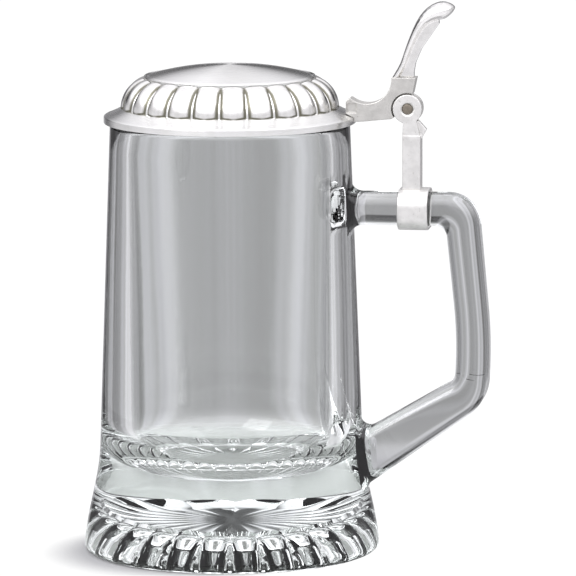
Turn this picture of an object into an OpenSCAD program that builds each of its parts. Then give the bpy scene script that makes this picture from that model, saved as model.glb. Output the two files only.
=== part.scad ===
// Lidded glass beer stein: a thick pressed mug with a star foot, a glass handle and a hinged metal lid.
// Millimetres. +Z is up, +X points from the mug's axis to its handle. The origin is the centre of the
// foot's underside. The lid turns about a pin that runs along Y.

/* [Glass mug] */
// Height of the mug's rim
rim_z = 154.8; // [120:0.2:200]
// Outer radius at the rim
rim_r = 43.1; // [41:0.1:44.5]
// Growth in outer radius per millimetre down the wall
wall_slope = 0.0375; // [0.02:0.0005:0.05]
// Extra radius of the flared foot
foot_flare = 4.5; // [2:0.1:6]
// Height over which the foot flares out
foot_h = 38; // [25:1:45]
// Radius of the drinking space
bore_r = 36.5; // [30:0.1:38]
// Height of the inside floor above the table
floor_z = 28; // [24:0.5:45]
// Radius of the curve between the inside floor and wall
floor_corner_r = 19; // [5:0.5:22]
// Rounding of the rim's two edges
rim_round = 1.6; // [0.5:0.1:2.5]

/* [Star foot] */
// Number of flutes in the star under the foot
flutes = 24; // [12:1:30]
// Radius of each flute
flute_r = 5; // [3:0.1:6]
// Mouth radius of the recess under the foot
recess_mouth_r = 45; // [38:0.5:46]
// Radius of the recess's roof
recess_roof_r = 34; // [25:0.5:37]
// Height of the recess's roof above the table
recess_h = 9; // [6:0.5:14]

/* [Glass handle] */
// Height of the top arm's middle
arm_z = 124.55; // [100:0.05:140]
// Vertical thickness of the top arm
handle_t = 11.3; // [8:0.1:14]
// Width of the handle across Y
handle_w = 16.4; // [12:0.2:20]
// Extra width of the weld pads where the handle meets the wall
pad_extra = 2.4; // [0:0.2:4]
// Corner radius of the handle's section
handle_round = 4.6; // [2:0.1:5]
// Furthest reach of the handle from the mug's axis
handle_reach = 94; // [85:0.5:105]

/* [Hinge] */
// Distance of the hinge pin from the mug's axis
pin_x = 64.4; // [58:0.1:70]
// Height of the hinge pin
pin_z = 160.6; // [155:0.1:170]
// Radius of the hinge pin
pin_r = 1.9; // [1.2:0.05:2.5]
// Radial clearance of the pin in the lid's knuckle
pin_play = 0.05; // [0.02:0.01:0.1]
// Outer radius of the knuckles
ear_r = 5.2; // [4:0.1:6]
// Depth of the hinge across Y
hinge_w = 7.2; // [6:0.2:10]
// Depth of the middle knuckle, which belongs to the lid
knuckle_w = 2.7; // [2:0.1:4]
// Gap beside the middle knuckle
side_play = 0.1; // [0.05:0.05:0.3]
// How far the lid opens before its shoulder meets the stop, in degrees
lid_opens = 118; // [90:1:118]

/* [Clamp] */
// Middle of the clamp band along the handle's arm
clamp_x = 66.75; // [62:0.05:72]
// Length of the clamp band along the handle's arm
clamp_l = 10.9; // [8:0.1:14]
// Thickness of the metal band
band_t = 1.1; // [0.8:0.1:2]
// Thickness of the soft liner between the band and the glass
liner_t = 0.4; // [0.2:0.1:1]

/* [Lid] */
// Outer radius of the lid's flange
flange_r = 45.3; // [44.5:0.1:48]
// Height of the flange's upright edge
flange_t = 2.4; // [1.5:0.1:3]
// Rise of the flange's sloping top from its edge to the gadroons
flange_rise = 3.1; // [0.5:0.1:5]
// Gap between the glass rim and the flange
rim_gap = 0.1; // [0.05:0.05:0.3]
// Radius of the gadrooned quarter round
gadroon_r = 11.5; // [10:0.1:14]
// Radius of the circle on which the quarter round is centred
gadroon_centre_r = 27.7; // [24:0.1:30]
// Wall thickness of the lid
lid_wall = 1.7; // [1.2:0.1:2.5]
// Number of gadroons round the lid
gadroons = 24; // [16:1:36]
// Turn of the ring of gadroons, in degrees
gadroon_turn = 2.8; // [0:0.1:15]
// Radius of the crown disc
disc_r = 30.8; // [28:0.1:31]
// Height of the crown disc's edge
disc_edge = 0.6; // [0.5:0.1:1.5]
// Rise of the crown disc's low dome
disc_rise = 4; // [2:0.1:8]
// Thickness of the crown disc
disc_t = 1.3; // [0.8:0.1:2]

/* [Hidden] */
$fn = 96;
eps = 0.5;

standing_r = 52.2;
foot_edge_z = 2.2;
flange_z = rim_z + rim_gap;
flange_top = flange_z + flange_t;
gadroon_z = flange_top + flange_rise - 0.4;
shelf_z = gadroon_z + sqrt(pow(gadroon_r, 2) - pow(disc_r - gadroon_centre_r, 2));
block_top = pin_z + 11.3;
ear_gap = knuckle_w / 2 + side_play;
band_hole = [handle_w + 2 * liner_t + 0.2, handle_t + 2 * liner_t + 0.2];
band_top = arm_z + band_hole[1] / 2 + band_t;
strap_w = 6.5;
strap_x = pin_x + 1.45;
neck_z = pin_z - 9.6;
block_face_angle = 71;

// Points on a circular arc.
function arc(c, r, from, to, n) =
    [for (i = [0:n]) let (a = from + (to - from) * i / n) c + r * [cos(a), sin(a)]];

function unit(v) = v / norm(v);

// Points on the arc of radius r that rounds the corner b of the path a, b, c.
function rounded(a, b, c, r, n = 6) =
    let (u = unit(a - b), w = unit(c - b), half = acos(u * w) / 2,
        centre = b + unit(u + w) * r / sin(half),
        spoke = b + u * r / tan(half) - centre,
        sweep = (180 - 2 * half) * sign(cross(b - a, c - b)))
    [for (i = [0:n]) let (t = sweep * i / n)
        centre + [spoke[0] * cos(t) - spoke[1] * sin(t), spoke[0] * sin(t) + spoke[1] * cos(t)]];

// A path through corners, each [x, z, radius], with its two ends left sharp.
function rounded_path(p) = [
    [p[0][0], p[0][1]],
    for (i = [1:len(p) - 2])
        each rounded([p[i - 1][0], p[i - 1][1]], [p[i][0], p[i][1]], [p[i + 1][0], p[i + 1][1]], p[i][2]),
    [p[len(p) - 1][0], p[len(p) - 1][1]]];

// Outer radius of the mug at height z: a straight taper with a cosine flare at the foot.
function wall_r(z) = rim_r + wall_slope * (rim_z - z)
    + (z < foot_h ? foot_flare * (1 + cos(180 * z / foot_h)) / 2 : 0);

// Outline of a rounded rectangle 2h by 2w as [along thickness, along width].
function section(h, w, r, n = 4) = [for (q = [0:3], j = [0:n])
    let (a = 90 * (q + j / n), sh = q == 0 || q == 3 ? 1 : -1, sw = q < 2 ? 1 : -1)
    [sh * (h - r) + r * cos(a), sw * (w - r) + r * sin(a)]];

// A closed skin over rings of points that all have the same count.
module skin(rings) {
    n = len(rings[0]);
    last = len(rings) - 1;
    polyhedron(
        points = [for (ring = rings) each ring],
        faces = [
            [for (k = [n - 1:-1:0]) k],
            for (i = [0:last - 1], k = [0:n - 1]) let (a = i * n + k, b = i * n + (k + 1) % n)
                each [[a, b, a + n], [b, b + n, a + n]],
            [for (k = [0:n - 1]) last * n + k]]);
}

// Stands an outline drawn in X and Z on the middle plane, with depth w across Y.
module upright(w) {
    rotate([90, 0, 0]) linear_extrude(w, center = true) children();
}

// The mug's outside as a solid of revolution.
module mug_outside() {
    rotate_extrude() polygon(concat(
        [[0, 0], [standing_r, 0]],
        [for (i = [0:14]) let (z = foot_edge_z + (foot_h - foot_edge_z) * i / 14) [wall_r(z), z]],
        arc([rim_r - rim_round, rim_z - rim_round], rim_round, 0, 90, 5),
        [[0, rim_z]]));
}

module drinking_space() {
    rotate_extrude() polygon(concat(
        [[0, floor_z]],
        arc([bore_r - floor_corner_r, floor_z + floor_corner_r], floor_corner_r, -90, 0, 8),
        arc([bore_r + rim_round, rim_z - rim_round], rim_round, 180, 90, 5),
        [[bore_r + rim_round, rim_z + eps], [0, rim_z + eps]]));
}

// The recess under the foot, ringed by flutes that lean inward along its wall.
module star_recess() {
    lean = atan2(recess_mouth_r - recess_roof_r, recess_h);
    translate([0, 0, -eps]) cylinder(h = eps + 0.01, r = recess_mouth_r);
    cylinder(h = recess_h, r1 = recess_mouth_r, r2 = recess_roof_r);
    for (i = [0:flutes - 1]) rotate(360 * i / flutes)
        translate([recess_mouth_r - 1, 0, 0]) rotate([0, -lean, 0])
            translate([0, 0, -flute_r]) cylinder(h = recess_h + 2 * flute_r, r = flute_r, $fn = 32);
}

module glass_body() {
    color([0.86, 0.9, 0.88, 0.35]) difference() {
        mug_outside();
        drinking_space();
        star_recess();
    }
}

// The handle's outer and inner side paths run from weld to weld. Each corner is [x, z, radius].
module glass_handle() {
    top = arm_z + handle_t / 2;
    bottom = arm_z - handle_t / 2;
    outer = rounded_path([[42.5, top + 9.3], [44.3, top, 4.5], [handle_reach - 4.7, top, 11.5],
        [handle_reach + 0.3, 76, 170], [handle_reach - 1, 55.1, 16], [50.6, 24.9, 5], [48.2, 15.5]]);
    inner = rounded_path([[43.3, bottom - 9.9], [45.2, bottom, 5], [handle_reach - 15.7, bottom, 4],
        [handle_reach - 11.4, 78, 150], [handle_reach - 12.4, 63, 5], [49, 43.9, 4], [45.2, 51.5]]);
    last = len(outer) - 1;
    weld_span = 7;
    color([0.84, 0.88, 0.87, 0.35]) difference() {
        skin([for (i = [0:last])
            let (h = norm(outer[i] - inner[i]) / 2, across = unit(outer[i] - inner[i]),
                mid = (outer[i] + inner[i]) / 2,
                near = max(0, 1 - min(i, last - i) / weld_span))
            [for (s = section(h, (handle_w + pad_extra * near) / 2, handle_round))
                [mid[0] + across[0] * s[0], s[1], mid[1] + across[1] * s[0]]]]);
        mug_outside();
    }
}

// A rectangle with round corners, size [w, h], made of squares and circles.
module round_rect(size, r) {
    square([size[0], size[1] - 2 * r], center = true);
    square([size[0] - 2 * r, size[1]], center = true);
    for (x = [-1, 1], y = [-1, 1])
        translate([x * (size[0] / 2 - r), y * (size[1] / 2 - r)]) circle(r);
}

// A closed collar of wall t round the handle's arm, with the hole [w, h].
module collar(hole, t, length) {
    hole_round = handle_round + (hole[0] - handle_w) / 2;
    translate([clamp_x, 0, arm_z]) rotate([90, 0, 90]) linear_extrude(length, center = true)
        difference() {
            round_rect([hole[0] + 2 * t, hole[1] + 2 * t], hole_round + t);
            round_rect(hole, hole_round);
        }
}

module clamp_liner() {
    color([0.3, 0.28, 0.25]) collar([handle_w + 0.2, handle_t + 0.2], liner_t, clamp_l - 1);
}

module clamp_band() {
    color([0.78, 0.78, 0.76]) collar(band_hole, band_t, clamp_l);
}

// The upright bar with its two ears, and the shoulder that stops the open lid.
module hinge_strap() {
    stop_angle = block_face_angle - lid_opens - 1;
    stop_dir = [cos(stop_angle), sin(stop_angle)];
    pin = [pin_x, pin_z];
    right = strap_x + strap_w / 2;
    color([0.74, 0.74, 0.72]) difference() {
        union() {
            translate([strap_x - strap_w / 2, -hinge_w / 2 - 0.1, band_top])
                cube([strap_w, hinge_w + 0.2, neck_z - band_top]);
            upright(hinge_w) {
                translate(pin) circle(ear_r);
                polygon([[strap_x - strap_w / 2, neck_z - 1], [right, neck_z - 1],
                    [pin_x + 3.2, pin_z - 3.8], [pin_x - 1.5, pin_z - 3.8]]);
            }
            upright(2 * ear_gap) polygon([pin + 4 * stop_dir, pin + 10 * stop_dir,
                [right, neck_z - 1.4], [strap_x, neck_z - 1.4]]);
        }
        translate([pin_x, 0, pin_z]) rotate([90, 0, 0]) {
            cylinder(h = hinge_w + 2, r = pin_r, center = true);
            cylinder(h = 2 * ear_gap, r = ear_r + 0.4, center = true);
            for (side = [-1, 1]) mirror([0, 0, side < 0 ? 1 : 0])
                translate([0, 0, hinge_w / 2 - 0.6]) cylinder(h = 0.7, r1 = pin_r, r2 = pin_r + 0.7);
        }
    }
}

module hinge_pin() {
    color([0.5, 0.46, 0.42]) translate([pin_x, 0, pin_z]) rotate([90, 0, 0])
        cylinder(h = hinge_w - 0.8, r = pin_r, center = true);
}

// Section of the flange, from its upright edge up the slope to radius top_r.
module flange_section(inner_r, top_r) {
    polygon([[inner_r, flange_z], [flange_r, flange_z], [flange_r, flange_top],
        [gadroon_centre_r + gadroon_r, flange_top + flange_rise],
        [top_r, flange_top + flange_rise], [inner_r, flange_top]]);
}

// The hollow lid casting: a sloping flange and a quarter round cut into gadrooned lobes.
module lid_shell() {
    groove_r = 0.8;
    color([0.8, 0.8, 0.78]) difference() {
        rotate_extrude() {
            flange_section(bore_r - 0.5, gadroon_centre_r + gadroon_r - lid_wall);
            intersection() {
                translate([gadroon_centre_r, gadroon_z]) difference() {
                    circle(gadroon_r);
                    circle(gadroon_r - lid_wall);
                }
                translate([gadroon_centre_r, gadroon_z]) square([20, shelf_z - gadroon_z]);
            }
        }
        for (i = [0:gadroons - 1]) rotate(gadroon_turn + 360 * i / gadroons)
            translate([gadroon_centre_r, 0, gadroon_z]) rotate([90, 0, 0])
                rotate_extrude(angle = 66) translate([gadroon_r + 0.2, 0]) circle(groove_r, $fn = 24);
    }
}

// The spun crown plate that closes the top of the lid.
module lid_disc() {
    rim_top = shelf_z + disc_edge;
    dome_r = disc_r - 0.7;
    seat_r = gadroon_centre_r - 0.4;
    sphere_r = (pow(dome_r, 2) + pow(disc_rise, 2)) / (2 * disc_rise);
    under_r = sphere_r - disc_t;
    centre = [0, rim_top + disc_rise - sphere_r];
    color([0.86, 0.86, 0.85]) rotate_extrude() polygon(concat(
        [[seat_r, shelf_z], [disc_r, shelf_z], [disc_r, rim_top]],
        arc(centre, sphere_r, acos(dome_r / sphere_r), 90, 10),
        arc(centre, under_r, 90, acos(seat_r / under_r), 10)));
}

// The casting on the lid that carries the middle knuckle and the block under the thumb lift.
module lid_arm() {
    hollow_r = 9.05;
    window = [3.4, 3.5, 0.8];
    pin = [pin_x, pin_z];
    face = [cos(block_face_angle), sin(block_face_angle)];
    color([0.76, 0.76, 0.74]) difference() {
        union() {
            upright(hinge_w) difference() {
                arm_outline(pin, face, hollow_r);
                translate(pin) circle(ear_r + 0.55);
            }
            upright(knuckle_w) {
                arm_outline(pin, face, hollow_r);
                translate(pin) circle(ear_r);
            }
        }
        translate([0, 0, flange_z - 5]) cylinder(h = 5.1, r = flange_r);
        rotate_extrude() flange_section(0, 0);
        translate([pin_x, 0, pin_z]) rotate([90, 0, 0])
            cylinder(h = hinge_w, r = pin_r + pin_play, center = true);
        for (side = [-1, 1])
            translate([flange_r - 0.9, side * hinge_w / 2, flange_top + 3.5])
                cube([window[0], 2 * window[2], window[1]], center = true);
    }
}

// Side outline of the lid arm, with the round hollow between its nose and its block.
module arm_outline(pin, face, hollow_r) {
    nose_x = flange_r - 3;
    hollow = [pin_x - 5.7 - hollow_r, block_top - 0.5];
    difference() {
        polygon([[nose_x, flange_top], [nose_x, flange_top + 5.9], [nose_x + 1.5, flange_top + 7.1],
            [nose_x + 5.1, hollow[1] - 8.75], [nose_x + 5.1, block_top],
            [pin_x + 3.1, block_top], pin + (ear_r + 0.55) * face, pin,
            [pin_x - 5.7, pin_z - 3.6], [flange_r + 3.5, pin_z - 4.6], [flange_r - 0.5, pin_z - 4.8],
            [flange_r - 0.5, flange_top]]);
        translate(hollow) circle(hollow_r);
    }
}

// The cast thumb lift: a leaf that widens and curls over at its head, braced by a rib behind it.
// Each station of the leaf is [x, z, thickness, half width].
module thumb_lift() {
    leaf = [[59.4, 170.6, 2.4, 3.3], [62.6, 176.2, 2.4, 3.9], [65.2, 183.3, 2.6, 5.2],
        [68.8, 190.7, 3.6, 6.7], [72.6, 194.4, 5.4, 7.4], [76.6, 195.9, 6.4, 7], [79.5, 196.6, 3.9, 5],
        [81, 196.9, 1, 1.8]];
    sides = 16;
    steps = 3;
    rib_w = 3.2;
    stations = [for (i = [0:len(leaf) - 2], k = [0:steps - 1])
        spline(leaf, i, k / steps), leaf[len(leaf) - 1]];
    count = len(stations);
    color([0.82, 0.82, 0.8]) difference() {
        union() {
            skin([for (i = [0:count - 1])
                let (s = stations[i], before = stations[max(0, i - 1)],
                    after = stations[min(count - 1, i + 1)],
                    along = unit([after[0] - before[0], after[1] - before[1]]))
                [for (k = [0:sides - 1]) let (a = 360 * k / sides)
                    [s[0] - along[1] * s[2] / 2 * cos(a), s[3] * sin(a),
                        s[1] + along[0] * s[2] / 2 * cos(a)]]]);
            upright(rib_w) polygon([[60, block_top - 1], [66.6, block_top - 1], [66.6, block_top + 2],
                [67.2, 177.2], [69.2, 181.9], [73.5, 188.2], [75.6, 191.2], [75.2, 195],
                [70, 192], [65.4, 183.3], [62.9, 176.8]]);
        }
        translate([pin_x - 20, -20, block_top - 10]) cube([40, 40, 10]);
    }
}

// Point t of the way from station i to the next on a Catmull-Rom curve.
function spline(p, i, t) =
    let (a = p[max(0, i - 1)], b = p[i], c = p[i + 1], d = p[min(len(p) - 1, i + 2)])
    b + t / 2 * ((c - a) + t * ((2 * a - 5 * b + 4 * c - d) + t * (3 * b - a - 3 * c + d)));

glass_body();
glass_handle();
clamp_liner();
clamp_band();
hinge_strap();
hinge_pin();
lid_shell();
lid_disc();
lid_arm();
thumb_lift();
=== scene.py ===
"""A lidded glass beer stein: thick pressed glass, a star foot and a pewter lid on a hinge."""
import logging
import math
from dataclasses import dataclass
from enum import Enum
from functools import cache
from typing import Any, Optional, Sequence, Union

import bmesh
import bpy
import numpy as np
from mathutils import Matrix, Vector


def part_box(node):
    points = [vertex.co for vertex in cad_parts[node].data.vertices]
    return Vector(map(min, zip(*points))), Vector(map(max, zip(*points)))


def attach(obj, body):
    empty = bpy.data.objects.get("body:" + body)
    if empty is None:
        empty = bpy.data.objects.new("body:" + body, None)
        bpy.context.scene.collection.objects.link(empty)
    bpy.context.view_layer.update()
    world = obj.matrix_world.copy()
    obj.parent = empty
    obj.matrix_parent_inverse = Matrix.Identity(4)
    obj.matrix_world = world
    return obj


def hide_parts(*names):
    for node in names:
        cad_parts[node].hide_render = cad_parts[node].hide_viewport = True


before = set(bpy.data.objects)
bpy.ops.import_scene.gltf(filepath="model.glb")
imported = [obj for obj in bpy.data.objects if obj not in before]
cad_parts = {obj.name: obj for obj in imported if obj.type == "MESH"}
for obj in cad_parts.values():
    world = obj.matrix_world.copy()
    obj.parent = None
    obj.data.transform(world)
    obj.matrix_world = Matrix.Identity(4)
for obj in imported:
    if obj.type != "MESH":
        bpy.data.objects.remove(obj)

LOG = logging.getLogger("stein")
MM = 0.001
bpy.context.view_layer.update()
Colour = tuple[float, float, float]


# ------------------------------------------------------------------ node trees
class Wire:
    """An output socket that takes part in Python arithmetic by adding math nodes."""

    def __init__(self, sketch: "Sketch", socket: bpy.types.NodeSocket) -> None:
        """Keeps the sketch that the socket's node stands in."""
        self.sketch = sketch
        self.socket = socket

    @property
    def is_vector(self) -> bool:
        """Whether the socket carries three numbers."""
        return self.socket.type in {"VECTOR", "RGBA", "ROTATION"}

    def math(self, operation: str, *others: "Value", swap: bool = False) -> "Wire":
        """Adds one Math or Vector Math node.

        Args:
            operation: The node's operation.
            others: The values that follow this one.
            swap: Puts this value after the others.

        Returns:
            The node's result.
        """
        values: list[Any] = [self, *others]
        if swap:
            values.reverse()
        vector = any(isinstance(v, Wire) and v.is_vector for v in values)
        kind = "ShaderNodeVectorMath" if vector else "ShaderNodeMath"
        if vector:
            values = [(v,) * 3 if isinstance(v, (int, float)) else v for v in values]
        return self.sketch.add(kind, dict(enumerate(values)), operation=operation)

    def __add__(self, other: "Value") -> "Wire":
        """Adds."""
        return self.math("ADD", other)

    __radd__ = __add__

    def __sub__(self, other: "Value") -> "Wire":
        """Subtracts."""
        return self.math("SUBTRACT", other)

    def __rsub__(self, other: "Value") -> "Wire":
        """Subtracts from a value."""
        return self.math("SUBTRACT", other, swap=True)

    def __mul__(self, other: "Value") -> "Wire":
        """Multiplies."""
        return self.math("MULTIPLY", other)

    __rmul__ = __mul__

    def __truediv__(self, other: "Value") -> "Wire":
        """Divides."""
        return self.math("DIVIDE", other)

    def __rtruediv__(self, other: "Value") -> "Wire":
        """Divides a value."""
        return self.math("DIVIDE", other, swap=True)

    def __pow__(self, other: "Value") -> "Wire":
        """Raises to a power."""
        return self.math("POWER", other)

    def __neg__(self) -> "Wire":
        """Negates."""
        return self.math("MULTIPLY", -1.0)

    def __abs__(self) -> "Wire":
        """Drops the sign."""
        return self.math("ABSOLUTE")

    def ramp(self, low: float, high: float, start: float = 0.0, end: float = 1.0) -> "Wire":
        """Rises smoothly from one value to another.

        Args:
            low: Where the rise starts.
            high: Where it ends.
            start: The value below low.
            end: The value above high.

        Returns:
            The ramped value.
        """
        return self.sketch.add("ShaderNodeMapRange", {
            "Value": self, "From Min": low, "From Max": high, "To Min": start, "To Max": end},
            interpolation_type="SMOOTHSTEP")

    def parts(self) -> tuple["Wire", "Wire", "Wire"]:
        """Splits a vector into its three numbers."""
        node = self.sketch.add("ShaderNodeSeparateXYZ", {0: self}).socket.node
        return tuple(Wire(self.sketch, s) for s in node.outputs)


Value = Union[Wire, float, int, str, Sequence[float], bpy.types.Material]


class Sketch:
    """Adds nodes to one node tree."""

    def __init__(self, tree: bpy.types.NodeTree) -> None:
        """Keeps the tree that the nodes go into."""
        self.tree = tree

    def add(self, kind: str, inputs: Optional[dict] = None, out: Optional[str] = None,
            **settings: Any) -> Wire:
        """Adds one node, with its settings first and then its socket values and links.

        Args:
            kind: The node's type.
            inputs: Values and wires, by socket name or number.
            out: The name of the output to return, or None for the first one in use.
            settings: The node's own settings.

        Returns:
            The chosen output.
        """
        node = self.tree.nodes.new(kind)
        for key, value in settings.items():
            setattr(node, key, value)
        for key, value in (inputs or {}).items():
            socket = node.inputs[key]
            if isinstance(value, Wire):
                self.tree.links.new(value.socket, socket)
            elif socket.type == "RGBA" and len(value) == 3:
                socket.default_value = (*value, 1.0)
            else:
                socket.default_value = value
        if out is not None:
            return Wire(self, node.outputs[out])
        usable = [s for s in node.outputs if s.enabled] or [None]
        return Wire(self, usable[0])

    def blend(self, share: "Value", a: "Value", b: "Value") -> Wire:
        """Mixes two colours by a share from 0 to 1."""
        return self.add("ShaderNodeMix", {0: share, 6: a, 7: b}, data_type="RGBA")

    def noise(self, at: Wire, scale: float, detail: float = 3.0, rough: float = 0.5) -> Wire:
        """Adds a noise texture.

        Args:
            at: The coordinates to read it at.
            scale: Its features per metre.
            detail: Its octaves.
            rough: The strength of each finer octave.

        Returns:
            The noise, around 0.5.
        """
        return self.add("ShaderNodeTexNoise", {
            "Vector": at, "Scale": scale, "Detail": detail, "Roughness": rough})

    def bump(self, height: Wire, depth: float) -> Wire:
        """Turns a height into a normal, for relief of a depth in metres."""
        return self.add("ShaderNodeBump", {"Height": height, "Strength": 1.0, "Distance": depth})


# ------------------------------------------------------------------ finishes
@dataclass(frozen=True)
class Finish:
    """The common part of every finish: one Principled surface on Object coordinates."""

    name: str = "finish"

    @cache
    def material(self) -> bpy.types.Material:
        """Makes the material once.

        Returns:
            The material, with its surface and its volume if it has one.
        """
        material = bpy.data.materials.new(self.name)
        material.use_nodes = True
        tree = material.node_tree
        tree.nodes.clear()
        sketch = Sketch(tree)
        at = sketch.add("ShaderNodeTexCoord", out="Object")
        surface = sketch.add("ShaderNodeBsdfPrincipled", self.sockets(sketch, at))
        ends = {"Surface": surface}
        body = self.volume(sketch)
        if body is not None:
            ends["Volume"] = body
        sketch.add("ShaderNodeOutputMaterial", ends)
        return material

    def sockets(self, sketch: Sketch, at: Wire) -> dict[str, Value]:
        """Gives the Principled sockets; each finish has its own.

        Args:
            sketch: The material's tree.
            at: Object coordinates in metres.

        Returns:
            Values and wires by socket name.
        """
        raise NotImplementedError

    def volume(self, sketch: Sketch) -> Optional[Wire]:
        """Gives what fills the piece, if anything does."""
        return None


@dataclass(frozen=True)
class ClearGlass(Finish):
    """Thick pressed soda glass: clear, faintly green in depth, with slow mould ripples."""

    name: str = "pressed_clear_glass"
    tint: Colour = (0.84, 0.90, 0.875)
    density: float = 5.0
    ripple: float = 0.00012

    def sockets(self, sketch: Sketch, at: Wire) -> dict[str, Value]:
        """Sets clear glass with ripples along the wall and fine wear on the surface.

        Args:
            sketch: The material's tree.
            at: Object coordinates in metres.

        Returns:
            Values and wires by socket name.
        """
        stretched = sketch.add("ShaderNodeMapping", {"Vector": at, "Scale": (1.0, 1.0, 0.35)})
        slow = sketch.noise(stretched, 42.0, 1.0)
        fine = sketch.noise(at, 260.0, 2.0)
        rub = sketch.noise(at, 900.0, 4.0, 0.7).ramp(0.62, 0.8, 0.0, 0.03)
        return {
            "Base Color": (0.985, 0.995, 0.99),
            "Roughness": rub,
            "IOR": 1.52,
            "Transmission Weight": 1.0,
            "Normal": sketch.bump(slow + fine * 0.06, self.ripple),
        }

    def volume(self, sketch: Sketch) -> Optional[Wire]:
        """Gives the glass its faint colour in depth."""
        return sketch.add("ShaderNodeVolumeAbsorption", {
            "Color": self.tint, "Density": self.density})


@dataclass(frozen=True)
class SpunPewter(Finish):
    """Lathe-turned pewter: tool lines run round the axis and stretch each highlight across them."""

    name: str = "spun_pewter"
    base: Colour = (0.86, 0.855, 0.84)
    shine: float = 0.27
    lines: float = 5200.0

    def sockets(self, sketch: Sketch, at: Wire) -> dict[str, Value]:
        """Sets fine rings of tool lines, faint handling marks and a slow change in tone.

        Args:
            sketch: The material's tree.
            at: Object coordinates in metres.

        Returns:
            Values and wires by socket name.
        """
        x, y, z = at.parts()
        radius = (x * x + y * y) ** 0.5
        rings = sketch.add("ShaderNodeCombineXYZ", {"X": radius, "Y": z})
        turned = sketch.noise(rings, self.lines, 2.0, 0.7)
        broad = sketch.noise(rings, self.lines * 0.16, 2.0)
        cloud = sketch.noise(at, 55.0, 3.0)
        tone = turned * 0.3 + broad * 0.3 + cloud * 0.4
        return {
            "Base Color": sketch.blend(tone, tuple(0.86 * c for c in self.base), self.base),
            "Metallic": 1.0,
            "Roughness": self.shine - 0.06 + 0.08 * turned + 0.05 * cloud,
            "Anisotropic": 0.92,
            "Anisotropic Rotation": 0.25,
            "Normal": sketch.bump(turned + 0.6 * broad, 0.0000022),
        }


@dataclass(frozen=True)
class PolishedPewter(Finish):
    """Buffed pewter castings, soft and faintly uneven, with dark patina left in the creases."""

    name: str = "buffed_pewter"
    base: Colour = (0.90, 0.89, 0.87)
    patina: Colour = (0.16, 0.155, 0.12)
    shine: float = 0.17

    def sockets(self, sketch: Sketch, at: Wire) -> dict[str, Value]:
        """Sets the buffed surface, its shallow dents and the patina in the creases.

        Args:
            sketch: The material's tree.
            at: Object coordinates in metres.

        Returns:
            Values and wires by socket name.
        """
        crease = sketch.add("ShaderNodeAttribute", out="Fac", attribute_name="crevice")
        mottle = sketch.noise(at, 420.0, 4.0, 0.6)
        dent = sketch.noise(at, 210.0, 2.0)
        grime = (crease + (mottle - 0.5) * 0.5 * crease).ramp(0.16, 0.5)
        worn = sketch.blend(mottle.ramp(0.35, 0.75), self.base, tuple(0.88 * c for c in self.base))
        return {
            "Base Color": sketch.blend(grime, worn, self.patina),
            "Metallic": 1.0,
            "Roughness": self.shine + 0.1 * mottle + 0.22 * grime,
            "Normal": sketch.bump(dent + 0.1 * mottle, 0.00005),
        }


@dataclass(frozen=True)
class CastPewter(Finish):
    """Pewter as cast and lightly brushed: a matte grey grain with darker pits."""

    name: str = "grained_cast_pewter"
    base: Colour = (0.80, 0.79, 0.77)
    pit: Colour = (0.42, 0.40, 0.37)
    shine: float = 0.34
    grain: float = 0.00003

    def sockets(self, sketch: Sketch, at: Wire) -> dict[str, Value]:
        """Sets the sandy grain, the scattered pits and cloudy tone.

        Args:
            sketch: The material's tree.
            at: Object coordinates in metres.

        Returns:
            Values and wires by socket name.
        """
        sand = sketch.noise(at, 2600.0, 3.0, 0.65)
        cloud = sketch.noise(at, 260.0, 3.0)
        pits = sketch.noise(at, 1300.0, 2.0).ramp(0.66, 0.76)
        worn = sketch.blend(cloud.ramp(0.3, 0.7), self.base, tuple(0.85 * c for c in self.base))
        return {
            "Base Color": sketch.blend(pits * 0.7, worn, self.pit),
            "Metallic": 1.0,
            "Roughness": self.shine + 0.12 * sand + 0.1 * cloud,
            "Normal": sketch.bump(sand + cloud * 1.5 - pits, self.grain),
        }


@dataclass(frozen=True)
class PinSteel(Finish):
    """A steel pin gone brown-grey, with filed marks across its ends."""

    name: str = "stained_pin_steel"
    base: Colour = (0.30, 0.265, 0.22)

    def sockets(self, sketch: Sketch, at: Wire) -> dict[str, Value]:
        """Sets the stained steel and its file marks.

        Args:
            sketch: The material's tree.
            at: Object coordinates in metres.

        Returns:
            Values and wires by socket name.
        """
        stretched = sketch.add("ShaderNodeMapping", {"Vector": at, "Scale": (1.0, 1.0, 6.0)})
        filed = sketch.noise(stretched, 1500.0, 3.0)
        stain = sketch.noise(at, 900.0, 3.0)
        return {
            "Base Color": sketch.blend(stain, self.base, tuple(0.55 * c for c in self.base)),
            "Metallic": 1.0,
            "Roughness": 0.36 + 0.25 * stain,
            "Normal": sketch.bump(filed, 0.00004),
        }


@dataclass(frozen=True)
class LinerPlastic(Finish):
    """The soft grey liner that keeps the band off the glass."""

    name: str = "pebbled_liner"

    def sockets(self, sketch: Sketch, at: Wire) -> dict[str, Value]:
        """Sets a matte plastic with a fine pebbled skin.

        Args:
            sketch: The material's tree.
            at: Object coordinates in metres.

        Returns:
            Values and wires by socket name.
        """
        pebble = sketch.noise(at, 3000.0, 2.0)
        return {
            "Base Color": sketch.blend(pebble, (0.10, 0.10, 0.095), (0.16, 0.155, 0.145)),
            "Roughness": 0.5 + 0.2 * pebble,
            "Normal": sketch.bump(pebble, 0.00004),
        }


class Stock(Enum):
    """The finishes that the stein is made in."""

    GLASS = ClearGlass()
    SPUN = SpunPewter()
    POLISHED = PolishedPewter()
    CAST = CastPewter()
    SAND = CastPewter(name="sand_cast_pewter", base=(0.60, 0.59, 0.565), shine=0.4, grain=0.00005)
    PIN = PinSteel()
    LINER = LinerPlastic()

    def material(self) -> bpy.types.Material:
        """Gives the stock's material."""
        return self.value.material()


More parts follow.
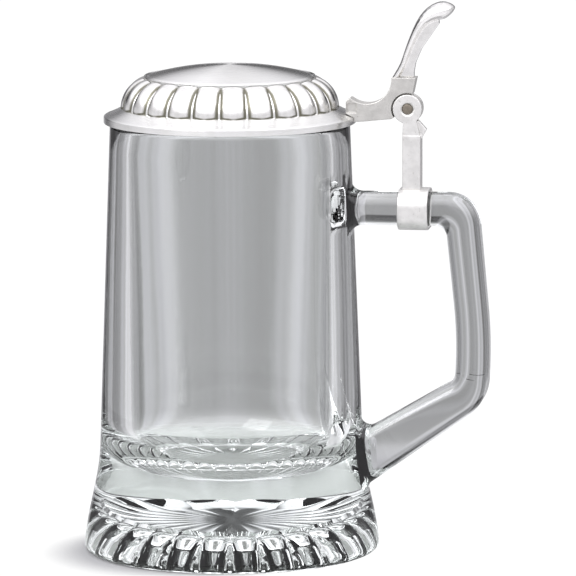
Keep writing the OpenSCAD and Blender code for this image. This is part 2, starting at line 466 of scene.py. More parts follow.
class Slot(Enum):
    """The record's material slots."""

    GLASS = "clear_glass"
    CAST = "cast_pewter"
    POLISHED = "polished_pewter"
    PIN = "pin_steel"
    LINER = "liner_plastic"


class Body(Enum):
    """The two bodies that the hinge joins."""

    MUG = "mug"
    LID = "lid"


# ------------------------------------------------------------------ mesh tools
def arc(centre: Sequence[float], radius: float, start: float, end: float, steps: int) -> list:
    """Gives points on a circular arc.

    Args:
        centre: The arc's centre.
        radius: Its radius.
        start: Its first angle in degrees.
        end: Its last angle in degrees.
        steps: How many spans it has.

    Returns:
        Points, each a pair.
    """
    angles = np.radians(np.linspace(start, end, steps + 1))
    return [(centre[0] + radius * math.cos(a), centre[1] + radius * math.sin(a)) for a in angles]


def rounded(corners: Sequence[Sequence[float]], steps: int = 12) -> np.ndarray:
    """Draws a path whose corners, each (x, z, radius), are rounded.

    Args:
        corners: The path, with two plain ends.
        steps: Spans in each corner.

    Returns:
        Points in X and Z.
    """
    points = [np.array(corners[0][:2], float)]
    for before, here, after in zip(corners, corners[1:], corners[2:]):
        b = np.array(here[:2], float)
        u, w = (np.array(p[:2], float) - b for p in (before, after))
        u, w = u / np.linalg.norm(u), w / np.linalg.norm(w)
        half = math.acos(float(np.clip(u @ w, -1, 1))) / 2
        middle = b + (u + w) / np.linalg.norm(u + w) * here[2] / math.sin(half)
        spoke = b + u * here[2] / math.tan(half) - middle
        sweep = (math.pi - 2 * half) * np.sign(u[1] * w[0] - u[0] * w[1])
        for t in np.linspace(0, sweep, steps + 1):
            c, s = math.cos(t), math.sin(t)
            points.append(middle + np.array([spoke[0] * c - spoke[1] * s,
                                             spoke[0] * s + spoke[1] * c]))
    points.append(np.array(corners[-1][:2], float))
    return np.array(points)


def lathe(rows: Sequence[Sequence[float]], turns: int) -> np.ndarray:
    """Turns (radius, height) rows into rings of points round Z.

    Args:
        rows: The profile in millimetres.
        turns: Points on each ring.

    Returns:
        An array of rows by turns by 3.
    """
    table = np.asarray(rows, float)
    angle = np.arange(turns) * 2 * math.pi / turns
    rings = np.empty((len(table), turns, 3))
    rings[..., 0] = table[:, :1] * np.cos(angle)
    rings[..., 1] = table[:, :1] * np.sin(angle)
    rings[..., 2] = table[:, 1:2]
    return rings


def place(name: str, data: Any) -> bpy.types.Object:
    """Puts new data into the scene.

    Args:
        name: The object's name.
        data: The mesh, camera or lamp that it shows.

    Returns:
        The new object.
    """
    thing = bpy.data.objects.new(name, data)
    bpy.context.scene.collection.objects.link(thing)
    return thing


def skin(name: str, rings: np.ndarray, poles: Optional[Sequence[Sequence[float]]] = None,
         loop: bool = False) -> bpy.types.Object:
    """Makes a closed object over rings of points in millimetres.

    Args:
        name: The object's name.
        rings: Rows by turns by 3; outside is to the right of the rows' direction.
        poles: A first and a last point that close the ends.
        loop: Joins the last ring to the first instead.

    Returns:
        The new object, smooth shaded.
    """
    rows, turns = rings.shape[:2]
    index = np.arange(rows * turns).reshape(rows, turns)
    after = np.roll(index, -1, axis=1)
    down, up = (slice(None), list(range(1, rows)) + [0]) if loop else (slice(0, -1), slice(1, None))
    quads = np.stack([index[down], after[down], after[up], index[up]], -1).reshape(-1, 4).tolist()
    points = rings.reshape(-1, 3)
    if poles is not None:
        count = len(points)
        points = np.vstack([points, np.asarray(poles, float)])
        quads += [(count, int(b), int(a)) for a, b in zip(index[0], after[0])]
        quads += [(int(a), int(b), count + 1) for a, b in zip(index[-1], after[-1])]
    mesh = bpy.data.meshes.new(name)
    mesh.from_pydata((points * MM).tolist(), [], quads)
    mesh.validate()
    mesh.shade_smooth()
    return place(name, mesh)


def face_outwards(piece: bpy.types.Object) -> bpy.types.Object:
    """Turns the normals of a closed piece outwards.

    Args:
        piece: The object.

    Returns:
        The same object.
    """
    work = bmesh.new()
    work.from_mesh(piece.data)
    bmesh.ops.recalc_face_normals(work, faces=work.faces)
    work.to_mesh(piece.data)
    work.free()
    return piece


def settle(piece: bpy.types.Object, sharp: Optional[float] = None) -> bpy.types.Object:
    """Turns a piece's modifiers into plain mesh.

    Args:
        piece: The object.
        sharp: The angle in degrees from which an edge stays crisp, or None for none.

    Returns:
        The same object.
    """
    bpy.context.view_layer.update()
    graph = bpy.context.evaluated_depsgraph_get()
    plain = bpy.data.meshes.new_from_object(piece.evaluated_get(graph))
    piece.modifiers.clear()
    piece.data = plain
    plain.shade_smooth()
    if sharp is not None:
        plain.set_sharp_from_angle(angle=math.radians(sharp))
    return piece


def hand_over(piece: bpy.types.Object, body: Body, stock: Stock, slot: Slot, *nodes: str) -> None:
    """Gives a finished piece its material, its body and the CAD nodes it stands for.

    Args:
        piece: The object.
        body: The body it rides on.
        stock: Its finish.
        slot: The record's slot for it; not used.
        nodes: The CAD nodes it replaces.
    """
    mesh = piece.data
    mesh.materials.clear()
    mesh.materials.append(stock.material())
    mesh.polygons.foreach_set("material_index", np.zeros(len(mesh.polygons), np.int32))
    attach(piece, body.value)
    if nodes:
        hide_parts(*nodes)
    mesh.calc_loop_triangles()
    LOG.info("%s: %d triangles on %s", piece.name, len(mesh.loop_triangles), body.value)


@dataclass
class NodePlan:
    """A geometry tree with named inputs, made once and then set on one piece."""

    name: str

    def __post_init__(self) -> None:
        """Starts the tree with its geometry sockets."""
        self.tree = bpy.data.node_groups.new(self.name, "GeometryNodeTree")
        self.sketch = Sketch(self.tree)
        self.values: dict[str, Any] = {}
        self.tree.interface.new_socket("Geometry", in_out="INPUT", socket_type="NodeSocketGeometry")
        self.tree.interface.new_socket("Geometry", in_out="OUTPUT", socket_type="NodeSocketGeometry")
        self.start = self.tree.nodes.new("NodeGroupInput")

    @property
    def geometry(self) -> Wire:
        """The mesh that comes in."""
        return Wire(self.sketch, self.start.outputs["Geometry"])

    def number(self, name: str, value: float, whole: bool = False) -> Wire:
        """Adds a named input.

        Args:
            name: What it is called on the modifier.
            value: Its value for this piece.
            whole: Whether it counts things.

        Returns:
            The input, ready for arithmetic.
        """
        kind = "NodeSocketInt" if whole else "NodeSocketFloat"
        item = self.tree.interface.new_socket(name, in_out="INPUT", socket_type=kind)
        self.values[item.identifier] = value
        return Wire(self.sketch, self.start.outputs[name])

    def finish(self, piece: bpy.types.Object, result: Wire, stock: Stock) -> None:
        """Ends the tree, sets its inputs and turns the piece into plain mesh.

        Args:
            piece: The object to shape.
            result: The tree's geometry.
            stock: The finish it gets.
        """
        item = self.tree.interface.new_socket(
            "Finish", in_out="INPUT", socket_type="NodeSocketMaterial")
        real = self.sketch.add("GeometryNodeRealizeInstances", {0: result})
        dressed = self.sketch.add("GeometryNodeSetMaterial", {
            "Geometry": real, "Material": Wire(self.sketch, self.start.outputs["Finish"])})
        self.sketch.add("NodeGroupOutput", {"Geometry": dressed})
        modifier = piece.modifiers.new(self.name, "NODES")
        modifier.node_group = self.tree
        for identifier, value in self.values.items():
            modifier[identifier] = value
        modifier[item.identifier] = stock.material()
        settle(piece)


def off_round(plan: NodePlan, count: Wire, turn: Wire) -> Wire:
    """Measures how far round a point is from the nearest of a ring of equal stations.

    Args:
        plan: The geometry tree.
        count: How many stations there are.
        turn: The angle of the first.

    Returns:
        The distance as a signed share of the spacing, from -0.5 to 0.5.
    """
    x, y, _ = plan.sketch.add("GeometryNodeInputPosition").parts()
    share = (y.math("ARCTAN2", x) - turn) * count / (2 * math.pi)
    return share - share.math("ROUND")


def spread(piece: bpy.types.Object, name: str, values: np.ndarray) -> None:
    """Stores a vector on every point of a mesh.

    Args:
        piece: The object.
        name: The attribute's name.
        values: Rows by turns by 3, padded with zeros for any poles.
    """
    flat = np.zeros((len(piece.data.vertices), 3), np.float32)
    given = values.reshape(-1, 3)
    flat[:len(given)] = given
    attribute = piece.data.attributes.new(name, "FLOAT_VECTOR", "POINT")
    attribute.data.foreach_set("vector", flat.ravel())


# ------------------------------------------------------------------ the glass
@dataclass
class GlassMug:
    """The thick mug with its star foot and its handle, in one piece of glass, in millimetres."""

    rim_z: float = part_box("glass_body")[1].z / MM
    rim_r: float = 43.1
    slope: float = 0.0375
    flare: float = 4.5
    flare_z: float = 38.0
    edge_z: float = 2.2
    edge_r: float = 1.9
    standing_r: float = 52.2
    bore_r: float = 36.5
    floor_z: float = 28.0
    floor_corner: float = 19.0
    rim_round: float = 1.6
    flutes: int = 24
    flute_r: float = 5.0
    mouth_r: float = 45.0
    roof_r: float = 34.0
    roof_z: float = 9.0
    turns: int = 480
    arm_z: float = 124.55
    handle_t: float = 11.3
    handle_w: float = 16.4
    pad: float = 2.4
    corner: float = 4.6
    reach: float = 93.97

    def wall(self, z: np.ndarray) -> np.ndarray:
        """Gives the outer radius at a height."""
        foot = self.flare * (0.99 + np.cos(np.pi * np.minimum(z, self.flare_z) / self.flare_z)) / 2
        return self.rim_r + self.slope * (self.rim_z - z) + foot

    def recess(self) -> tuple[list, list]:
        """Draws the recess under the foot, from the middle of its roof to its mouth.

        Returns:
            Rows of (radius, height), and for each the (radius, height) push of a flute.
        """
        lean = math.atan2(self.mouth_r - self.roof_r, self.roof_z)
        along = np.array([-math.sin(lean), math.cos(lean)])
        out = np.array([math.cos(lean), math.sin(lean)])
        length = self.roof_z / math.cos(lean)
        soft = 3.0
        rows: list = []
        push: list = []
        for r in np.concatenate([np.linspace(2, 10, 6), np.linspace(11.5, self.roof_r - soft, 16)]):
            star = 0.5 * float(np.clip((r - 3) / 6, 0, 1))
            lift = 2.13 * max(0.0, (r - 22) / (self.roof_r - soft - 22)) ** 2
            rows.append((r, self.roof_z + lift - 4.26 * star))
            push.append((0.0, star))
        for k in range(1, 8):
            share = k / 8
            start = np.array([self.roof_r - soft, self.roof_z])
            corner = np.array([self.roof_r, self.roof_z])
            end = corner - along * soft
            point = (1 - share) ** 2 * start + 2 * share * (1 - share) * corner + share ** 2 * end
            rows.append(tuple(point))
            way = (1 - share) * np.array([0.0, 1.0]) + share * out
            way /= np.linalg.norm(way)
            push.append(tuple(way * (0.125 + 0.6 * share)))
        for share in np.linspace(0, 1, 18):
            t = (length - soft) * (1 - share)
            rows.append((self.mouth_r - t * math.sin(lean), t * math.cos(lean)))
            full = 0.725 + 0.275 * min(1.0, share / 0.35)
            push.append(tuple(out * full - along * math.tan(lean) * share * full))
        return rows, push

    def profile(self) -> tuple[list, list]:
        """Draws the section from the recess roof round the wall to the inside floor.

        Returns:
            Rows of (radius, height), and for each the (radius, height) push of a flute.
        """
        rows, push = self.recess()
        mouth_push = push[-1][0]
        width = self.standing_r - self.mouth_r
        for share in (0.03, 0.12, 0.5, 0.85):
            rows.append((self.mouth_r + width * share * 0.95, 0.0))
            push.append((mouth_push * (1 - share) * 0.98, 0.0))
        foot = float(self.wall(np.array(self.edge_z)))
        for share in np.linspace(0.1, 0.95, 7):
            a = math.radians(-90 + 78 * share)
            rows.append((foot - self.edge_r * (1 - math.cos(a)), self.edge_z * (1 + math.sin(a))))
            push.append((0.0, 0.0))
        up = np.concatenate([np.linspace(self.edge_z, self.flare_z, 30),
                             np.linspace(self.flare_z, self.rim_z - self.rim_round, 16)[1:]])
        outside = [(float(self.wall(z)), float(z)) for z in up]
        top = self.rim_z - self.rim_round
        outside += arc((self.rim_r - self.rim_round, top), self.rim_round, 10, 90, 7)
        outside += arc((self.bore_r + self.rim_round, top), self.rim_round, 90, 170, 7)
        corner_z = self.floor_z + self.floor_corner
        outside += [(self.bore_r, z) for z in np.linspace(top, corner_z + 0.3, 14)]
        inner = self.bore_r - self.floor_corner
        outside += arc((inner, corner_z), self.floor_corner, -6, -90, 14)
        outside += [(r, self.floor_z) for r in np.linspace(inner, 4, 6)[1:]]
        rows += outside
        push += [(0.0, 0.0)] * len(outside)
        return rows, push

    def build_body(self) -> bpy.types.Object:
        """Turns the section and presses the flutes into its recess.

        Returns:
            The mug without its handle.
        """
        rows, push = self.profile()
        piece = skin("glass_mug", lathe(rows, self.turns),
                     poles=[(0, 0, self.roof_z), (0, 0, self.floor_z)])
        spread(piece, "press", lathe(push, self.turns))
        plan = NodePlan("press the star foot")
        count = plan.number("Flutes", self.flutes, whole=True)
        radius = plan.number("Flute radius", self.flute_r * MM)
        inset = plan.number("Depth of the flute's axis", 0.74 * MM)
        off = off_round(plan, count, plan.number("Turn", 0.0))
        x, y, _ = plan.sketch.add("GeometryNodeInputPosition").parts()
        away = (x * x + y * y) ** 0.5 * (off * (2 * math.pi) / count).math("SINE")
        deep = ((radius * radius - away * away).math("MAXIMUM", 0.0) ** 0.5 - inset)
        deep = deep.math("MAXIMUM", 0.0)
        way = plan.sketch.add("GeometryNodeInputNamedAttribute", {"Name": "press"},
                              data_type="FLOAT_VECTOR")
        moved = plan.sketch.add("GeometryNodeSetPosition", {
            "Geometry": plan.geometry, "Offset": way * deep})
        plan.finish(piece, moved, Stock.GLASS)
        return piece

    def build_handle(self) -> bpy.types.Object:
        """Lofts the handle between its outer and inner paths, from weld to weld.

        Returns:
            The handle, with its ends inside the wall.
        """
        top, bottom = self.arm_z + self.handle_t / 2, self.arm_z - self.handle_t / 2
        far = self.reach
        outer = rounded([(40.6, top + 9.6), (44.3, top, 4.5), (far - 4.7, top, 11.5),
                         (far + 0.3, 76, 170), (far - 1, 55.1, 16), (50.6, 24.9, 5), (45.6, 14.5)])
        inner = rounded([(41.2, bottom - 10.4), (45.2, bottom, 5), (far - 15.7, bottom, 4),
                         (far - 11.4, 78, 150), (far - 12.4, 63, 5), (49, 43.9, 4), (42.6, 52.5)])
        middle, across = (outer + inner) / 2, outer - inner
        span = np.linalg.norm(across, axis=1)
        across /= span[:, None]
        count = len(outer)
        near = np.maximum(0, 1 - np.minimum(np.arange(count), count - 1 - np.arange(count)) / 14)
        rings = []
        for k in range(count):
            h, w = span[k] / 2, (self.handle_w + self.pad * near[k]) / 2
            ring = []
            for q in range(4):
                sh, sw = (1 if q in (0, 3) else -1), (1 if q < 2 else -1)
                for a in np.radians(np.linspace(90 * q, 90 * q + 90, 9)):
                    up = sh * (h - self.corner) + self.corner * math.cos(a)
                    side = sw * (w - self.corner) + self.corner * math.sin(a)
                    ring.append((middle[k][0] + across[k][0] * up, side,
                                 middle[k][1] + across[k][1] * up))
            rings.append(ring)
        table = np.array(rings)
        return face_outwards(skin("handle_loft", table,
                                  poles=[table[0].mean(0), table[-1].mean(0)]))

    def build(self) -> None:
        """Fuses the handle to the mug."""
        mug, handle = self.build_body(), self.build_handle()
        weld = mug.modifiers.new("weld", "BOOLEAN")
        weld.operation = "UNION"
        weld.solver = "EXACT"
        weld.object = handle
        settle(mug, sharp=38)
        bpy.data.objects.remove(handle)
        hand_over(mug, Body.MUG, Stock.GLASS, Slot.GLASS, "glass_body", "glass_handle")


# ------------------------------------------------------------------ the hinge
@dataclass
class Clamp:
    """The band that grips the handle's arm over a soft liner, in millimetres."""

    band_t: float = 1.1
    edge: float = 0.4
    corner: float = 6.2
    flat: float = 2.0

    def build(self) -> None:
        """Bends the band round the arm and dresses the liner."""
        low, high = (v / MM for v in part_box("clamp_band"))
        half = (high - low) / 2
        middle = (high + low) / 2
        ring: list = []
        for q, (sy, sz) in enumerate(((1, 1), (-1, 1), (-1, -1), (1, -1))):
            for a in np.radians(np.linspace(90 * q, 90 * q + 90, 13)):
                normal = (math.cos(a), math.sin(a))
                foot = (sy * (half.y - self.corner), sz * (half.z - self.corner))
                ring.append((*foot, *normal))
        length, t, e = half.x, self.band_t, self.edge
        section = [(-length + e * 0.6, -t), (length - e * 0.6, -t)]
        section += [(length, -t + e * 0.6)]
        section += [(length - e + x, -e + y) for x, y in arc((0, 0), e, 0, 90, 5)]
        section += [(length - self.flat, 0.02), (-length + self.flat, 0.02)]
        section += [(-length + e + x, -e + y) for x, y in arc((0, 0), e, 90, 180, 5)]
        section += [(-length, -t + e * 0.6)]
        rings = np.array([[(middle.x + x, middle.y + fy + ny * (self.corner + o),
                            middle.z + fz + nz * (self.corner + o)) for fy, fz, ny, nz in ring]
                          for x, o in section])
        rings[..., 1:] = np.clip(rings[..., 1:], [low.y, low.z], [high.y, high.z])
        band = face_outwards(skin("clamp_band_bent", rings, loop=True))
        band.data.set_sharp_from_angle(angle=math.radians(50))
        hand_over(band, Body.MUG, Stock.CAST, Slot.CAST, "clamp_band")
        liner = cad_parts["clamp_liner"]
        for place in liner.material_slots:
            place.material = Stock.LINER.material()


@dataclass
class Casting:
    """A cast part: the CAD's shape with the soft edges that a mould leaves, in millimetres."""

    name: str
    node: str
    body: Body
    stock: Stock
    slot: Slot
    grid: float = 0.16
    soften: int = 6

    def build(self) -> None:
        """Softens a copy of the CAD part."""
        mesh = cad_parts[self.node].data.copy()
        mesh.materials.clear()
        piece = place(self.name, mesh)
        work = bmesh.new()
        work.from_mesh(mesh)
        bmesh.ops.remove_doubles(work, verts=work.verts, dist=1e-6)
        work.to_mesh(mesh)
        work.free()
        voxels = piece.modifiers.new("grid", "REMESH")
        voxels.mode = "VOXEL"
        voxels.voxel_size = self.grid * MM
        soft = piece.modifiers.new("soften", "SMOOTH")
        soft.factor = 0.5
        soft.iterations = self.soften
        settle(piece)
        hand_over(piece, self.body, self.stock, self.slot, self.node)


@dataclass
class HingePin:
    """The pin, with a slight dome and a worn edge at each end."""

    steps: int = 48

    def build(self) -> None:
        """Turns the pin about the hinge's axis."""
        low, high = (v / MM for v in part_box("hinge_pin"))
        radius, half = (high.x - low.x) / 2, (high.y - low.y) / 2
        cx, cz = (high.x + low.x) / 2, (high.z + low.z) / 2
        rows = [(radius * 0.45, -half), (radius - 0.35, -half + 0.05), (radius - 0.1, -half + 0.15),
                (radius, -half + 0.4), (radius, half - 0.4), (radius - 0.1, half - 0.15),
                (radius - 0.35, half - 0.05), (radius * 0.45, half)]
        rings = lathe(rows, self.steps)
        turned = np.stack([cx + rings[..., 0], rings[..., 2], cz - rings[..., 1]], -1)
        pin = skin("hinge_pin_turned", turned, poles=[(cx, -half, cz), (cx, half, cz)])
        hand_over(pin, Body.MUG, Stock.PIN, Slot.PIN, "hinge_pin")


# ------------------------------------------------------------------ the lid
@dataclass
class Lid:
    """The flange, the gadrooned ring, its crease ridges and the spun crown, in millimetres."""

    flange_r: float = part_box("lid_shell")[1].x / MM
    flange_z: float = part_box("lid_shell")[0].z / MM
    flange_t: float = 2.4
    bore_r: float = 36.0
    flange_rise: float = 3.1
    round_r: float = 11.5
    centre_r: float = 27.7
    wall: float = 1.7
    lobes: int = 24
    turn: float = 2.8
    lobe_depth: float = 1.5
    disc_r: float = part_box("lid_disc")[1].x / MM
    disc_top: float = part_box("lid_disc")[1].z / MM
    groove_w: float = 1.05
    disc_t: float = 1.3
    turns: int = 576

    @property
    def centre_z(self) -> float:
        """Height of the quarter round's centre."""
        return self.flange_z + self.flange_t + self.flange_rise - 0.4

    @property
    def shelf_z(self) -> float:
        """Height of the shelf that the crown sits on."""
        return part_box("lid_disc")[0].z / MM

    def build_flange(self) -> None:
        """Turns the sloping flange, with its broken edges and a shallow cove at the lobes."""
        z0, z1, r0, r1 = self.flange_z, self.flange_z + self.flange_t, self.bore_r, self.flange_r
        foot_r, foot_z = self.centre_r + self.round_r, z1 + self.flange_rise
        e = 0.3
        rows = [(r0, z0 + 0.3), (r0 + 0.3, z0)]
        rows += [(r1 - 1.0, z0)] + arc((r1 - e, z0 + e), e, -90, 0, 4)
        rows += arc((r1 - e, z1 - e), e, 0, 62, 4)
        for share in np.linspace(0.08, 1.0, 12):
            sag = 0.16 * math.sin(math.pi * share)
            rows.append((r1 + (foot_r - 0.4 - r1) * share, z1 + (foot_z - 0.1 - z1) * share - sag))
        rows += [(foot_r - 1.4, foot_z - 0.15), (foot_r - 1.6, foot_z - 0.5), (r0, z1)]
        piece = skin("lid_flange", lathe(rows, 288), loop=True)
        piece.data.set_sharp_from_angle(angle=math.radians(60))
        hand_over(piece, Body.LID, Stock.SPUN, Slot.POLISHED, "lid_shell")

    def build_ring(self) -> None:
        """Turns the quarter round and presses the lobes into it."""
        c = (self.centre_r, self.centre_z)
        top = math.degrees(math.asin((self.shelf_z - self.centre_z) / self.round_r))
        outer = arc(c, self.round_r, -4, top, 40)
        inner = arc(c, self.round_r - self.wall, top - 6, -3, 12)
        rows = outer + inner
        push = []
        for r, z in outer:
            a = math.degrees(math.atan2(z - c[1], r - c[0]))
            swell = np.interp(a, [-4, 6, 34, 58, top], [1.0, 1.0, 0.95, 0.75, 0.35])
            way = np.array([r - c[0], z - c[1]]) / self.round_r
            push.append(tuple(way * swell))
        push += [(0.0, 0.0)] * len(inner)
        piece = skin("lid_gadroons", lathe(rows, self.turns), loop=True)
        spread(piece, "press", lathe(push, self.turns))
        plan = NodePlan("press the gadroons")
        sketch = plan.sketch
        off = off_round(plan, plan.number("Lobes", self.lobes, whole=True),
                        plan.number("Turn", math.radians(self.turn)))
        depth = plan.number("Lobe depth", self.lobe_depth * MM)
        near = 1.0 - 2.0 * abs(off)
        way = sketch.add("GeometryNodeInputNamedAttribute", {"Name": "press"},
                         data_type="FLOAT_VECTOR")
        moved = sketch.add("GeometryNodeSetPosition", {
            "Geometry": plan.geometry, "Offset": way * (depth * near ** 2.6) * -1.0})
        height = sketch.add("GeometryNodeInputPosition").parts()[2]
        hem = height.ramp((self.centre_z + 1.3) * MM, (self.centre_z + 0.35) * MM)
        groove = near ** 3.0 * way.math("LENGTH")
        kept = sketch.add("GeometryNodeStoreNamedAttribute", {
            "Geometry": moved, "Name": "crevice",
            "Value": groove.math("MAXIMUM", hem * (0.35 + 0.5 * near))},
            data_type="FLOAT", domain="POINT")
        plan.finish(piece, kept, Stock.POLISHED)
        hand_over(piece, Body.LID, Stock.POLISHED, Slot.POLISHED, "lid_shell")

    def build_ridges(self) -> None:
        """Lays one tapered ridge in each crease, by instancing a swept arc round the lid."""
        piece = place("crease_ridges", bpy.data.meshes.new("crease_ridges"))
        plan = NodePlan("lay the crease ridges")
        sketch = plan.sketch
        count = plan.number("Ridges", self.lobes, whole=True)
        turn = plan.number("Turn", math.radians(self.turn))
        bend = plan.number("Bend radius", (self.round_r - self.lobe_depth * 0.9) * MM)
        centre_r = plan.number("Bend centre radius", self.centre_r * MM)
        centre_z = plan.number("Bend centre height", self.centre_z * MM)
        head = plan.number("Half width at the crown", 0.34 * MM)
        foot = plan.number("Half width at the flange", 0.62 * MM)
        line = sketch.add("GeometryNodeCurveArc", {
            "Resolution": 26, "Radius": bend, "Start Angle": math.radians(-2),
            "Sweep Angle": math.radians(72)}, mode="RADIUS")
        upright = sketch.add("GeometryNodeTransform", {
            "Geometry": line, "Rotation": (math.pi / 2, 0.0, 0.0)})
        seat = sketch.add("ShaderNodeCombineXYZ", {"X": centre_r, "Z": centre_z})
        upright = sketch.add("GeometryNodeTransform", {"Geometry": upright, "Translation": seat})
        share = sketch.add("GeometryNodeSplineParameter", out="Factor")
        width = foot + (head - foot) * share.ramp(0.0, 0.75)
        sized = sketch.add("GeometryNodeSetCurveRadius", {"Curve": upright, "Radius": width})
        hoop = sketch.add("GeometryNodeCurvePrimitiveCircle", {"Resolution": 10, "Radius": 1.0})
        rod = sketch.add("GeometryNodeCurveToMesh", {
            "Curve": sized, "Profile Curve": hoop, "Scale": width, "Fill Caps": True})
        stations = sketch.add("GeometryNodePoints", {"Count": count})
        index = sketch.add("GeometryNodeInputIndex")
        swing = sketch.add("ShaderNodeCombineXYZ", {
            "Z": turn + index * (2 * math.pi) / count})
        ring = sketch.add("GeometryNodeInstanceOnPoints", {
            "Points": stations, "Instance": rod, "Rotation": swing})
        plan.finish(piece, ring, Stock.POLISHED)
        hand_over(piece, Body.LID, Stock.POLISHED, Slot.POLISHED, "lid_shell")

    def build_crown(self) -> None:
        """Spins the crown plate with the groove and bead at its edge."""
        z, r, seat = self.shelf_z, self.disc_r, self.centre_r - 0.4
        foot = self.disc_r - self.groove_w
        edge_z = z + 0.5
        rise = self.disc_top - edge_z
        ball = (foot ** 2 + rise ** 2) / (2 * rise)
        under = ball - self.disc_t
        rows = [(rr, self.disc_top - ball + math.sqrt(under ** 2 - rr ** 2))
                for rr in seat * np.linspace(0.03, 1.0, 14)]
        rows += [(seat, z), (r - 0.35, z)]
        rows += arc((r - 0.32, z + 0.32), 0.32, -70, 120, 8)
        rows += [(r - 0.66, z + 0.16), (r - 0.86, z + 0.12), (foot + 0.06, z + 0.2)]
        for rr in foot * (1 - np.linspace(0.01, 0.97, 34)):
            rows.append((rr, edge_z + math.sqrt(ball ** 2 - rr ** 2) - (ball - rise)))
        piece = skin("lid_crown", lathe(rows, 288),
                     poles=[(0, 0, self.disc_top - self.disc_t), (0, 0, self.disc_top)])
        piece.data.set_sharp_from_angle(angle=math.radians(50))
        hand_over(piece, Body.LID, Stock.SPUN, Slot.POLISHED, "lid_disc")

    def build(self) -> None:
        """Builds the lid's four turned and cast parts."""
        self.build_flange()
        self.build_ring()
        self.build_ridges()
        self.build_crown()


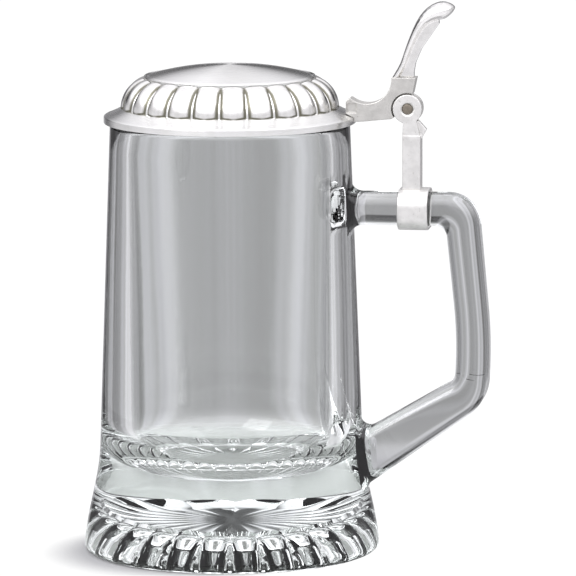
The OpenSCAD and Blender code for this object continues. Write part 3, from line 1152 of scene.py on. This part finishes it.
# ------------------------------------------------------------------ the studio
@dataclass
class Studio:
    """A pale floor, a soft surround and the camera, in metres."""

    turn: float = math.radians(8.0)
    distance: float = 2.0
    height: float = 0.396
    aim_z: float = 0.0945
    aim_right: float = 0.0206
    roll: float = math.radians(0.2)
    lens: float = 350.9
    floor_r: float = 0.9
    white: float = 1.05
    # The colour of the painted shadow beside the foot.
    shade: Colour = (0.34, 0.34, 0.345)
    card: Colour = (0.47, 0.49, 0.475)
    # The colour and strength of the painted glow on the card, which stands in for light let through
    # the glass.
    painted_caustic_glow: Colour = (1.0, 1.0, 0.985)
    painted_caustic_glow_strength: float = 0.1
    lamp_at: tuple[float, float, float] = (-0.55, -0.75, 0.95)
    lamp_size: tuple[float, float] = (0.7, 0.5)
    lamp_watts: float = 5.0

    def build_camera(self) -> None:
        """Places the long-lens camera."""
        data = bpy.data.cameras.new("camera")
        data.lens = self.lens
        data.sensor_width = 36.0
        data.clip_end = 50.0
        camera = place("camera", data)
        right = Vector((math.cos(self.turn), math.sin(self.turn), 0.0))
        aim = right * self.aim_right + Vector((0, 0, self.aim_z))
        back = Vector((math.sin(self.turn) * self.distance, -math.cos(self.turn) * self.distance,
                       self.height - self.aim_z))
        axis = back.normalized()
        up = axis.cross(right)
        c, s = math.cos(self.roll), math.sin(self.roll)
        side, top = c * right - s * up, s * right + c * up
        camera.matrix_world = Matrix((
            (side.x, top.x, axis.x, (aim + back).x),
            (side.y, top.y, axis.y, (aim + back).y),
            (side.z, top.z, axis.z, (aim + back).z),
            (0.0, 0.0, 0.0, 1.0)))
        bpy.context.scene.camera = camera

    def build_floor(self) -> None:
        """Lays a pale round floor that fades into the surround, with a painted shadow beside the
        foot.
        """
        piece = skin("floor", lathe([(r * 1000, -0.4 * (k == 0) - 0.05) for k, r in enumerate(
            (0.001, 0.1, 0.25, 0.5, self.floor_r))], 64), poles=None)
        material = bpy.data.materials.new("pale_floor")
        material.use_nodes = True
        material.node_tree.nodes.clear()
        sketch = Sketch(material.node_tree)
        x, y, _ = sketch.add("ShaderNodeTexCoord", out="Object").parts()
        away = (x * x + y * y) ** 0.5
        # The camera sees white paper with a painted shadow at the foot's near left side: a dark
        # paper colour inside a fixed mask, not a shadow cast by the lamp.
        painted_shadow = sketch.add("ShaderNodeBsdfDiffuse", {"Color": self.shade})
        glow = sketch.add("ShaderNodeEmission", {"Color": (1, 1, 1), "Strength": self.white})
        far = (away + 0.25 * x + 0.18 * y).ramp(0.036, 0.052)
        camera_side = sketch.add("ShaderNodeMixShader", {0: far, 1: painted_shadow, 2: glow})
        # The glass and the metal see a small grey card under the foot and nothing beyond it; the
        # card glows faintly, painted light that stands in for light let through the glass.
        matte = sketch.add("ShaderNodeBsdfDiffuse", {"Color": self.card})
        painted_caustic_glow = sketch.add("ShaderNodeEmission", {
            "Color": self.painted_caustic_glow, "Strength": self.painted_caustic_glow_strength})
        card = sketch.add("ShaderNodeAddShader", {0: painted_caustic_glow, 1: matte})
        open_ = sketch.add("ShaderNodeBsdfTransparent")
        other_side = sketch.add("ShaderNodeMixShader", {
            0: away.ramp(0.06, 0.115), 1: card, 2: open_})
        seen = sketch.add("ShaderNodeLightPath", out="Is Camera Ray")
        mixed = sketch.add("ShaderNodeMixShader", {0: seen, 1: other_side, 2: camera_side})
        sketch.add("ShaderNodeOutputMaterial", {"Surface": mixed})
        piece.data.materials.append(material)

    def build_surround(self) -> None:
        """Paints the soft surround: bright in front and above, grey with soft bands behind."""
        world = bpy.data.worlds.new("surround")
        bpy.context.scene.world = world
        world.use_nodes = True
        world.node_tree.nodes.clear()
        sketch = Sketch(world.node_tree)
        x, y, z = sketch.add("ShaderNodeTexCoord", out="Generated").parts()
        c, s = math.cos(self.turn), math.sin(self.turn)
        front = x * s - y * c
        side = x * c + y * s
        level = (x * x + y * y) ** 0.5
        ahead = front / level
        round_ = side.math("ARCTAN2", -front)
        bands = sketch.add("ShaderNodeTexNoise", {"W": round_ * 9.0 + 3.1, "Scale": 1.0,
                                                  "Detail": 1.5}, noise_dimensions="1D")
        # Degrees round from straight behind the stein; z is the sine of the height above level.
        away = abs(round_) * (180 / math.pi)
        panel = away.ramp(5.4, 7.2) * away.ramp(8.4, 10.5, 1.0, 0.0)
        shoulder = away.ramp(2.5, 6.0) * 0.06
        wings = away.ramp(18.0, 24.0) * away.ramp(32.0, 42.0, 1.0, 0.0) * z.ramp(0.0, 0.2, 0.2, 0.0)
        sides = away.ramp(42.0, 52.0) * (0.2 + 0.14 * away.ramp(80.0, 110.0, 1.0, 0.0))
        dim = away.ramp(15.0, 30.0, 0.24, 0.36) * away.ramp(48.0, 70.0, 1.0, 0.2)
        hedge = z.ramp(0.03, 0.1) * z.ramp(0.25, 0.4, 1.0, 0.0) * dim
        back = 0.28 + 0.14 * bands.ramp(0.36, 0.64) + 0.12 * panel + shoulder - wings - hedge + sides
        lit = ahead.ramp(-0.3, 0.25) * 0.26
        overhead = z.ramp(0.2, 0.6) * (0.75 + 0.75 * front.ramp(-0.45, 0.2))
        strength = back + lit + overhead + z.ramp(-0.2, -0.6) * 0.25
        cool = sketch.blend(bands.ramp(0.3, 0.7), (0.99, 0.985, 1.0), (0.98, 0.97, 1.03))
        soft = sketch.add("ShaderNodeBackground", {"Color": cool, "Strength": strength})
        white = sketch.add("ShaderNodeBackground", {"Color": (1, 1, 1), "Strength": self.white})
        seen = sketch.add("ShaderNodeLightPath", out="Is Camera Ray")
        mixed = sketch.add("ShaderNodeMixShader", {0: seen, 1: soft, 2: white})
        sketch.add("ShaderNodeOutputWorld", {"Surface": mixed})

    def build_lights(self) -> None:
        """Hangs one large soft light over the front left."""
        data = bpy.data.lights.new("softbox", "AREA")
        data.shape = "RECTANGLE"
        data.size, data.size_y = self.lamp_size
        data.energy = self.lamp_watts
        lamp = place("softbox", data)
        spot = Vector(self.lamp_at)
        lamp.location = spot
        lamp.rotation_euler = (Vector((0, 0, 0.08)) - spot).to_track_quat("-Z", "Y").to_euler()
        lamp.visible_camera = False

    def build(self) -> None:
        """Sets the whole stage."""
        self.build_camera()
        self.build_floor()
        self.build_surround()
        self.build_lights()
        bpy.context.scene.view_settings.view_transform = "Standard"


def main() -> None:
    """Builds the stein and its stage in order."""
    logging.basicConfig(level=logging.INFO, format="%(name)s: %(message)s")
    Studio().build()
    GlassMug().build()
    Clamp().build()
    Casting("hinge_strap_cast", "hinge_strap", Body.MUG, Stock.CAST, Slot.CAST).build()
    HingePin().build()
    Lid().build()
    Casting("lid_arm_cast", "lid_arm", Body.LID, Stock.SAND, Slot.CAST).build()
    Casting("thumb_lift_cast", "thumb_lift", Body.LID, Stock.POLISHED, Slot.POLISHED).build()


if __name__ == "__main__":
    main()
